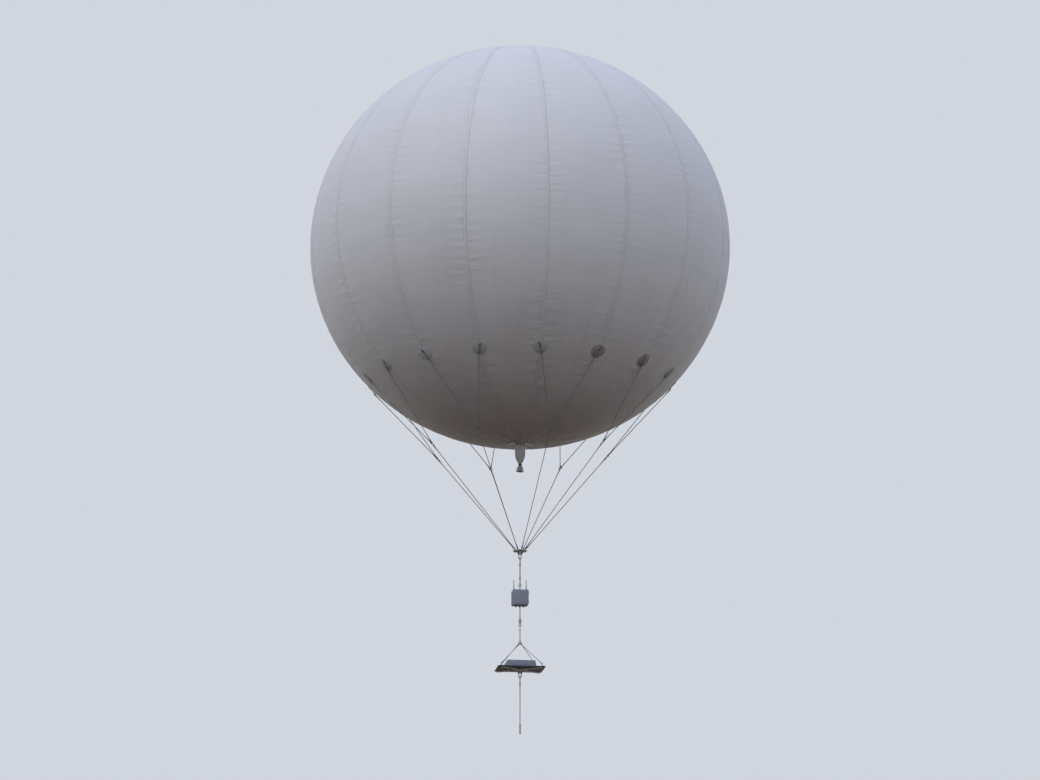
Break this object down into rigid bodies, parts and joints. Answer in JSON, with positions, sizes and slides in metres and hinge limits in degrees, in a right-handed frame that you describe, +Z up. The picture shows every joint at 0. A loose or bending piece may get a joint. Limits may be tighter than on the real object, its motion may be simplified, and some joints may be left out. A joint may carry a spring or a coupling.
{
  "type": "tethered helium balloon",
  "caption": "Gored spherical helium balloon with crow's-foot load lines, a hanging control box, swivel, bridled instrument platform and tether leader.",
  "frame": {"origin": "centre of the envelope, where the lift of the gas acts", "axes": "+Z up the line of the lift; +X to the right and -Y towards the viewer, with the control box's door and the platform's hatch facing -Y"},
  "size_m": [5.9816, 5.9816, 9.9963],
  "materials": {
    "envelope_fabric": "satin coated balloon fabric, off-white",
    "patch_fabric": "coated woven reinforcement, light grey",
    "rope": "braided synthetic rope, grey",
    "aluminium": "machined, clear anodised",
    "steel": "stainless, satin",
    "casing_plastic": "moulded, fine texture, blue-grey",
    "battery": "shrink-wrapped pack, black",
    "antenna_rubber": "moulded sleeve, black",
    "platform_paint": "powder coat, blue-grey"
  },
  "bodies": {
    "balloon": {"envelope": "envelope_fabric", "crown_patch": "patch_fabric", "neck_flange": "aluminium", "neck_sleeve": "patch_fabric", "relief_valve": "aluminium", "load_patch_01": "patch_fabric", "load_patch_02": "patch_fabric", "load_patch_03": "patch_fabric", "load_patch_04": "patch_fabric", "load_patch_05": "patch_fabric", "load_patch_06": "patch_fabric", "load_patch_07": "patch_fabric", "load_patch_08": "patch_fabric", "load_patch_09": "patch_fabric", "load_patch_10": "patch_fabric", "load_patch_11": "patch_fabric", "load_patch_12": "patch_fabric", "load_patch_13": "patch_fabric", "load_patch_14": "patch_fabric", "load_patch_15": "patch_fabric", "load_patch_16": "patch_fabric", "load_line_1": "rope", "load_line_2": "rope", "load_line_3": "rope", "load_line_4": "rope", "load_line_5": "rope", "load_line_6": "rope", "load_line_7": "rope", "load_line_8": "rope", "load_ring": "aluminium"},
    "shackle_above": {"upper_shackle": "steel"},
    "strop": {"strop": "rope"},
    "control_unit": {"load_rod": "steel", "control_box": "casing_plastic", "battery_left": "battery", "battery_right": "battery", "antenna_left": "antenna_rubber", "antenna_right": "antenna_rubber", "swivel_barrel": "steel"},
    "box_door": {"control_box_door": "casing_plastic"},
    "swivel_lower": {"swivel_shaft": "steel"},
    "drop_line": {"drop_line": "rope"},
    "platform": {"bridle_ring": "steel", "bridle_leg_1": "rope", "bridle_leg_2": "rope", "bridle_leg_3": "rope", "bridle_leg_4": "rope", "platform_frame": "aluminium", "platform_plate": "platform_paint", "instrument_housing": "platform_paint", "platform_battery": "battery"},
    "hatch": {"instrument_hatch": "platform_paint"},
    "shackle_below": {"tether_shackle": "steel"},
    "leader": {"tether_leader": "rope"}
  },
  "joints": [
    {"name": "upper_shackle_swing", "type": "hinge", "parent": "balloon", "child": "shackle_above", "pos_m": [0, 0, -4.488], "axis": [1, 0, 0], "range_deg": [-35, 35]},
    {"name": "strop_swing", "type": "hinge", "parent": "shackle_above", "child": "strop", "pos_m": [0, 0, -4.5477], "axis": [0, 1, 0], "range_deg": [-35, 35]},
    {"name": "control_unit_swing", "type": "hinge", "parent": "strop", "child": "control_unit", "pos_m": [0, 0, -4.9357], "axis": [1, 0, 0], "range_deg": [-35, 35]},
    {"name": "box_door_hinge", "type": "hinge", "parent": "control_unit", "child": "box_door", "pos_m": [-0.121, -0.0662, -5.13], "axis": [0, 0, -1], "range_deg": [0, 110]},
    {"name": "swivel_turn", "type": "hinge", "parent": "control_unit", "child": "swivel_lower", "pos_m": [0, 0, -5.48], "axis": [0, 0, 1], "continuous": true},
    {"name": "drop_line_swing", "type": "hinge", "parent": "swivel_lower", "child": "drop_line", "pos_m": [0, 0, -5.527], "axis": [0, 1, 0], "range_deg": [-35, 35]},
    {"name": "platform_swing", "type": "hinge", "parent": "drop_line", "child": "platform", "pos_m": [0, 0, -5.7587], "axis": [1, 0, 0], "range_deg": [-35, 35]},
    {"name": "hatch_hinge", "type": "hinge", "parent": "platform", "child": "hatch", "pos_m": [0, -0.166, -6.1433], "axis": [1, 0, 0], "range_deg": [0, 80]},
    {"name": "tether_shackle_swing", "type": "hinge", "parent": "platform", "child": "shackle_below", "pos_m": [0, 0, -6.2083], "axis": [1, 0, 0], "range_deg": [-35, 35]},
    {"name": "leader_swing", "type": "hinge", "parent": "shackle_below", "child": "leader", "pos_m": [0, 0, -6.268], "axis": [0, 1, 0], "range_deg": [-35, 35]}
  ]
}
